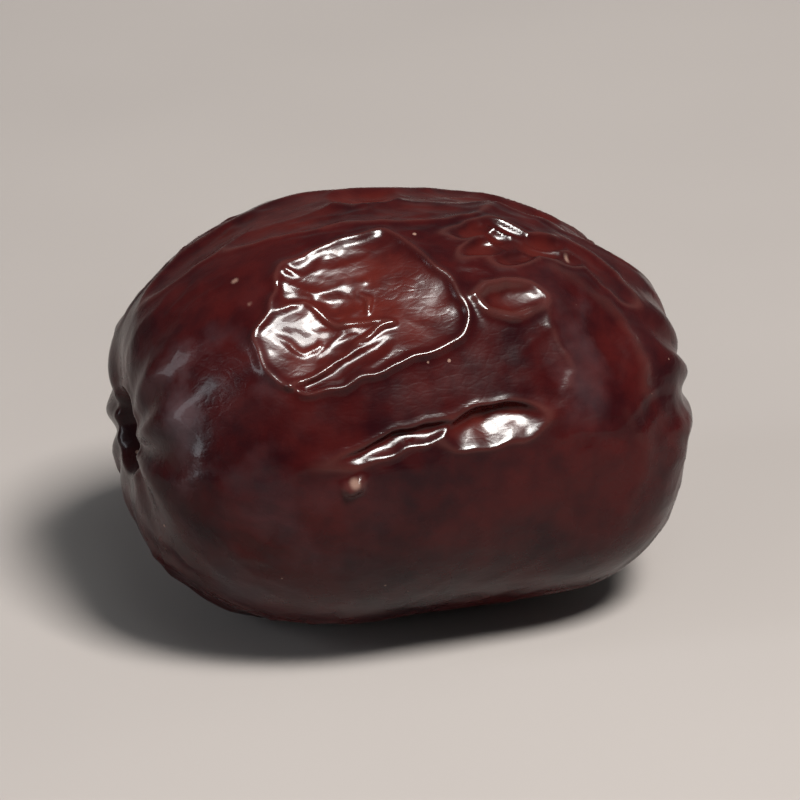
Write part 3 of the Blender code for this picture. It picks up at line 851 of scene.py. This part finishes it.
def skin_bump(tree, place):
    """The finest crackle and grain, as a normal."""
    drawn = add_vectors(tree, "MULTIPLY", place, FINE_STRETCH)
    web = {"Vector": drawn, "Scale": FINE_CELLS}
    edges = add_node(tree, "ShaderNodeTexVoronoi", web, feature="DISTANCE_TO_EDGE").outputs["Distance"]
    furrow = add_range(tree, edges, 0.0, FINE_FURROW, FINE_FURROW_HEIGHT, 0.0)
    grain = {"Vector": drawn, "Scale": FINE_GRAIN, "Detail": 5.0}
    grain = add_node(tree, "ShaderNodeTexNoise", grain).outputs["Fac"]
    height = add_maths(tree, "ADD", furrow, add_maths(tree, "MULTIPLY", grain, FINE_GRAIN_HEIGHT))
    bump = {"Height": height, "Strength": FINE_STRENGTH, "Distance": MM}
    return add_node(tree, "ShaderNodeBump", bump).outputs["Normal"]


def skin_finish():
    """Waxed maroon skin."""
    made, tree, shader = new_material("jujube skin", WAX)
    place = in_millimetres(tree)
    bloom_and_sheen_amount = {"Vector": place, "Size": BLOOM_AND_SHEEN_SIZE, "Detail": 5.0, "Low": BLOOM_AND_SHEEN_BARE, "High": 1.0}
    bloom_and_sheen_amount = add_maths(tree, "MAXIMUM", add_group(tree, UNEVEN, bloom_and_sheen_amount), 0.0)
    bloom_and_sheen_amount = add_maths(tree, "MULTIPLY", bloom_and_sheen_amount, mark(tree, "bloom_and_sheen"))
    tree.links.new(skin_colour(tree, place, bloom_and_sheen_amount), shader.inputs["Base Color"])
    tree.links.new(skin_roughness(tree, place, bloom_and_sheen_amount), shader.inputs["Roughness"])
    tree.links.new(skin_bump(tree, place), shader.inputs["Normal"])
    return made


skin_mesh, cup_floor = make_skin(SKIN_CELLS)
relief = {"Crackle size": CRACKLE_SIZE, "Crackle depth": CRACKLE_DEPTH, "Stretch": CRACKLE_STRETCH}
relief |= {"Grain size": GRAIN_SIZE, "Grain depth": GRAIN_DEPTH, "Material": skin_finish()}
skin = grow("skin", skin_mesh, skin_relief_tree(), relief)
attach(skin, "root")
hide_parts("jujube")

# Stalk stub
# What is left of the stalk after picking: a dry woody peg in the bottom of the cup, torn off level
# with the cup's mouth. Its fibres stand out round the break.

# Peg, in millimetres. Grooves are shares of its radius.
STUB_RADIUS = 0.70
STUB_TIP_RADIUS = 0.52
STUB_HEIGHT = 0.85
STUB_ROOT = 0.3
STUB_SIDES = 48
STUB_RINGS = 14
TIP_HOLLOW = 0.16
BROAD_GROOVES = 5
BROAD_GROOVE = 0.07
FINE_GROOVES = 13
FINE_GROOVE = 0.04
BROAD_RAGS = 4
BROAD_RAG = 0.09
FINE_RAGS = 11
FINE_RAG = 0.05

# Fibres, in millimetres. They lean by up to so many radians either way.
FIBRES = 44
FIBRE_RADIUS = 0.045
FIBRE_TAPER = 0.35
FIBRE_LENGTH = 0.42
FIBRE_SIDES = 6
FIBRE_LEAN = 0.3
FIBRE_ROOT = 0.1
STUB_SEED = 3


def peg_spot(angle, share):
    """A point of the peg's side, so far round it and up it: grooved, and ragged towards its tip."""
    grooves = BROAD_GROOVE * math.cos(BROAD_GROOVES * angle + 0.7)
    grooves += FINE_GROOVE * math.cos(FINE_GROOVES * angle + 3 * share)
    radius = (STUB_RADIUS + (STUB_TIP_RADIUS - STUB_RADIUS) * share) * (1.0 + grooves)
    rags = BROAD_RAG * math.sin(BROAD_RAGS * angle + 1.0) + FINE_RAG * math.sin(FINE_RAGS * angle)
    reach = -STUB_ROOT + (STUB_ROOT + STUB_HEIGHT) * share + rags * share
    return Vector((-reach, radius * math.cos(angle), radius * math.sin(angle)))


def peg_mesh(seat):
    """A grooved peg along X with a hollowed, ragged tip."""
    peg = bmesh.new()
    turns = [2 * math.pi * j / STUB_SIDES for j in range(STUB_SIDES)]
    rings = []
    for i in range(STUB_RINGS + 1):
        rings.append([peg.verts.new(seat + peg_spot(angle, i / STUB_RINGS) * MM) for angle in turns])
    for lower, upper in zip(rings, rings[1:]):
        for j in range(STUB_SIDES):
            k = (j + 1) % STUB_SIDES
            peg.faces.new((lower[j], lower[k], upper[k], upper[j]))
    for ring, reach in ((rings[0], -STUB_ROOT), (rings[-1], STUB_HEIGHT - TIP_HOLLOW)):
        middle = peg.verts.new(seat + Vector((-reach, 0, 0)) * MM)
        for j in range(STUB_SIDES):
            peg.faces.new((ring[j], ring[(j + 1) % STUB_SIDES], middle))
    bmesh.ops.recalc_face_normals(peg, faces=peg.faces)
    mesh = bpy.data.meshes.new("stub")
    peg.to_mesh(mesh)
    peg.free()
    return mesh


def fibres_tree(seat):
    """Geometry nodes that stand short fibres in a ring on the peg's broken tip."""
    tree = bpy.data.node_groups.new("stub fibres", "GeometryNodeTree")
    sizes = {
        "Geometry": ("NodeSocketGeometry", None),
        "Fibres": ("NodeSocketInt", 10),
        "Ring radius": ("NodeSocketFloat", 1.0),
        "Fibre radius": ("NodeSocketFloat", 0.1),
        "Fibre length": ("NodeSocketFloat", 1.0),
        "Seed": ("NodeSocketInt", 0),
        "Material": ("NodeSocketMaterial", None),
    }
    given, result = add_sockets(tree, sizes, {"Geometry": "NodeSocketGeometry"})
    ring = add_node(tree, "GeometryNodeMeshCircle", {"Vertices": given["Fibres"], "Radius": 1.0})
    inward = {"Min": (0.25, 0.25, 0.0), "Max": (1.0, 1.0, 0.0), "Seed": given["Seed"]}
    inward = add_node(tree, "FunctionNodeRandomValue", inward, data_type="FLOAT_VECTOR").outputs[0]
    spot = add_vectors(tree, "MULTIPLY", add_node(tree, "GeometryNodeInputPosition").outputs[0], inward)
    spot = add_vectors(tree, "SCALE", spot, given["Ring radius"])
    placed = {"Geometry": ring.outputs["Mesh"], "Position": spot}
    points = add_node(tree, "GeometryNodeSetPosition", placed).outputs[0]
    tip_radius = add_maths(tree, "MULTIPLY", given["Fibre radius"], FIBRE_TAPER)
    cone = {"Vertices": FIBRE_SIDES, "Radius Top": tip_radius}
    cone |= {"Radius Bottom": given["Fibre radius"], "Depth": given["Fibre length"]}
    fibre = add_node(tree, "GeometryNodeMeshCone", cone).outputs["Mesh"]
    lean = {"Min": (-FIBRE_LEAN, -FIBRE_LEAN, 0.0), "Max": (FIBRE_LEAN, FIBRE_LEAN, 6.3)}
    lean |= {"Seed": given["Seed"]}
    lean = add_node(tree, "FunctionNodeRandomValue", lean, data_type="FLOAT_VECTOR").outputs[0]
    longer = {"Min": (0.7, 0.7, 0.5), "Max": (1.3, 1.3, 1.3), "Seed": given["Seed"]}
    longer = add_node(tree, "FunctionNodeRandomValue", longer, data_type="FLOAT_VECTOR").outputs[0]
    stand = {"Points": points, "Instance": fibre, "Rotation": lean, "Scale": longer}
    stood = add_node(tree, "GeometryNodeInstanceOnPoints", stand).outputs[0]
    turned = {"Geometry": stood, "Translation": seat, "Rotation": (0.0, math.radians(-90), 0.0)}
    turned = add_node(tree, "GeometryNodeTransform", turned).outputs[0]
    both = add_node(tree, "GeometryNodeJoinGeometry")
    tree.links.new(turned, both.inputs[0])
    tree.links.new(given["Geometry"], both.inputs[0])
    end_tree(tree, both.outputs[0], given, result)
    return tree


# Colours of the dry wood, and its grain: drawn out along the stalk, and so many millimetres across
STALK_BROWN = (0.13, 0.065, 0.034, 1.0)
STALK_TAN = (0.42, 0.27, 0.16, 1.0)
STALK_FLECK = (0.06, 0.025, 0.015, 1.0)
STALK_FLECK_SHARE = 0.6
STALK_STRETCH = (0.18, 1.0, 1.0)
STALK_GRAIN = 0.13


def stub_finish():
    """Dry woody stalk: pale tan with brown grain along it and darker flecks."""
    made, tree, shader = new_material("dry stalk", {"Roughness": 0.8, "IOR": 1.45})
    place = in_millimetres(tree)
    drawn = add_vectors(tree, "MULTIPLY", place, STALK_STRETCH)
    grain = add_group(tree, UNEVEN, {"Vector": drawn, "Size": STALK_GRAIN, "Detail": 3.0})
    colour = mix_colours(tree, grain, STALK_BROWN, STALK_TAN)
    flecks = add_group(tree, FLECKS, {"Vector": place, "Spacing": 0.3, "Radius": 0.04, "Share": 0.3})
    colour = mix_colours(tree, add_maths(tree, "MULTIPLY", flecks, STALK_FLECK_SHARE), colour, STALK_FLECK)
    tree.links.new(colour, shader.inputs["Base Color"])
    bump = {"Height": grain, "Strength": 0.6, "Distance": 0.05 * MM}
    tree.links.new(add_node(tree, "ShaderNodeBump", bump).outputs["Normal"], shader.inputs["Normal"])
    return made


tip = cup_floor - Vector((STUB_HEIGHT - FIBRE_ROOT, 0, 0)) * MM
fibres = {"Fibres": FIBRES, "Ring radius": STUB_TIP_RADIUS * MM, "Fibre radius": FIBRE_RADIUS * MM}
fibres |= {"Fibre length": FIBRE_LENGTH * MM, "Seed": STUB_SEED, "Material": stub_finish()}
stub = grow("stub", peg_mesh(cup_floor), fibres_tree(tip), fibres)
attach(stub, "root")

# Table, light and camera
# A pale matt table top under soft studio light: a lamp above and to the right, a wider one there that
# shows only in the sheen of the skin, a weak tall lamp at the left, and a dim even surround.

# Table: its side in metres, and two colours that drift into each other over so many millimetres
TABLE_SIZE = 3.0
TABLE_DARK = (0.225, 0.206, 0.198, 1.0)
TABLE_LIGHT = (0.245, 0.225, 0.216, 1.0)
TABLE_CLOUDS = 60.0

# Camera, in degrees round the fruit and above it, and its distance in metres
CAMERA_AZIMUTH = -15.0
CAMERA_ELEVATION = 25.0
CAMERA_LENS = 260.0
CAMERA_DISTANCE = 0.275

# Lamps: which way they are from the fruit, by shares right, up and towards the camera, their width and
# height in metres, power in watts and colour, and whether they show only in sheen
LAMP_DISTANCE = 0.5
Lamp = namedtuple("Lamp", "name aim width height power colour sheen_only")
LAMPS = (
    Lamp("main lamp", (0.33, 0.61, 0.69), 0.14, 0.14, 6.4, (1.0, 0.97, 0.92), False),
    Lamp("sheen lamp", (0.19, 0.63, 0.76), 0.25, 0.15, 12.0, (0.97, 1.0, 0.97), True),
    Lamp("left lamp", (-0.88, 0.14, 0.42), 0.08, 0.34, 1.0, (0.9, 0.94, 1.0), False),
)
SURROUND_COLOUR = (1.0, 0.985, 0.97, 1.0)
SURROUND_STRENGTH = 0.16


def table_finish():
    """Matt pale laminate, almost even."""
    made, tree, shader = new_material("table top", {"Roughness": 0.62, "IOR": 1.45})
    place = in_millimetres(tree)
    tone = add_group(tree, UNEVEN, {"Vector": place, "Size": TABLE_CLOUDS, "Detail": 3.0})
    tree.links.new(mix_colours(tree, tone, TABLE_DARK, TABLE_LIGHT), shader.inputs["Base Color"])
    return made


half = TABLE_SIZE / 2
table = bpy.data.meshes.new("table")
corners = [(-half, -half, 0), (half, -half, 0), (half, half, 0), (-half, half, 0)]
table.from_pydata(corners, [], [(0, 1, 2, 3)])
table.materials.append(table_finish())
floor = bpy.data.objects.new("table", table)
bpy.context.scene.collection.objects.link(floor)

azimuth, elevation = math.radians(CAMERA_AZIMUTH), math.radians(CAMERA_ELEVATION)
to_camera = Vector((
    math.sin(azimuth) * math.cos(elevation),
    -math.cos(azimuth) * math.cos(elevation),
    math.sin(elevation),
))
to_right = Vector((math.cos(azimuth), math.sin(azimuth), 0.0))
upwards = to_camera.cross(to_right)
middle = Vector((0.0, 0.0, (cad_low.z + cad_high.z) / 2))


def add_lamp(lamp):
    """A flat soft lamp that faces the fruit."""
    light = bpy.data.lights.new(lamp.name, "AREA")
    light.shape = "RECTANGLE"
    light.size, light.size_y = lamp.width, lamp.height
    light.energy, light.color = lamp.power, lamp.colour
    placed = bpy.data.objects.new(lamp.name, light)
    bpy.context.scene.collection.objects.link(placed)
    right, up, near = lamp.aim
    towards = (to_right * right + upwards * up + to_camera * near).normalized()
    placed.location = middle + towards * LAMP_DISTANCE
    placed.rotation_euler = (-towards).to_track_quat("-Z", "Y").to_euler()
    placed.visible_diffuse = not lamp.sheen_only


for lamp in LAMPS:
    add_lamp(lamp)
world = bpy.data.worlds.new("studio")
bpy.context.scene.world = world
world.use_nodes = True
surround = world.node_tree.nodes["Background"]
surround.inputs["Color"].default_value = SURROUND_COLOUR
surround.inputs["Strength"].default_value = SURROUND_STRENGTH
bpy.context.scene.view_settings.view_transform = "Standard"

lens = bpy.data.cameras.new("camera")
lens.lens, lens.clip_start, lens.clip_end = CAMERA_LENS, 0.01, 10.0
camera = bpy.data.objects.new("camera", lens)
bpy.context.scene.collection.objects.link(camera)
camera.location = middle + to_camera * CAMERA_DISTANCE
camera.rotation_euler = (-to_camera).to_track_quat("-Z", "Y").to_euler()
bpy.context.scene.camera = camera
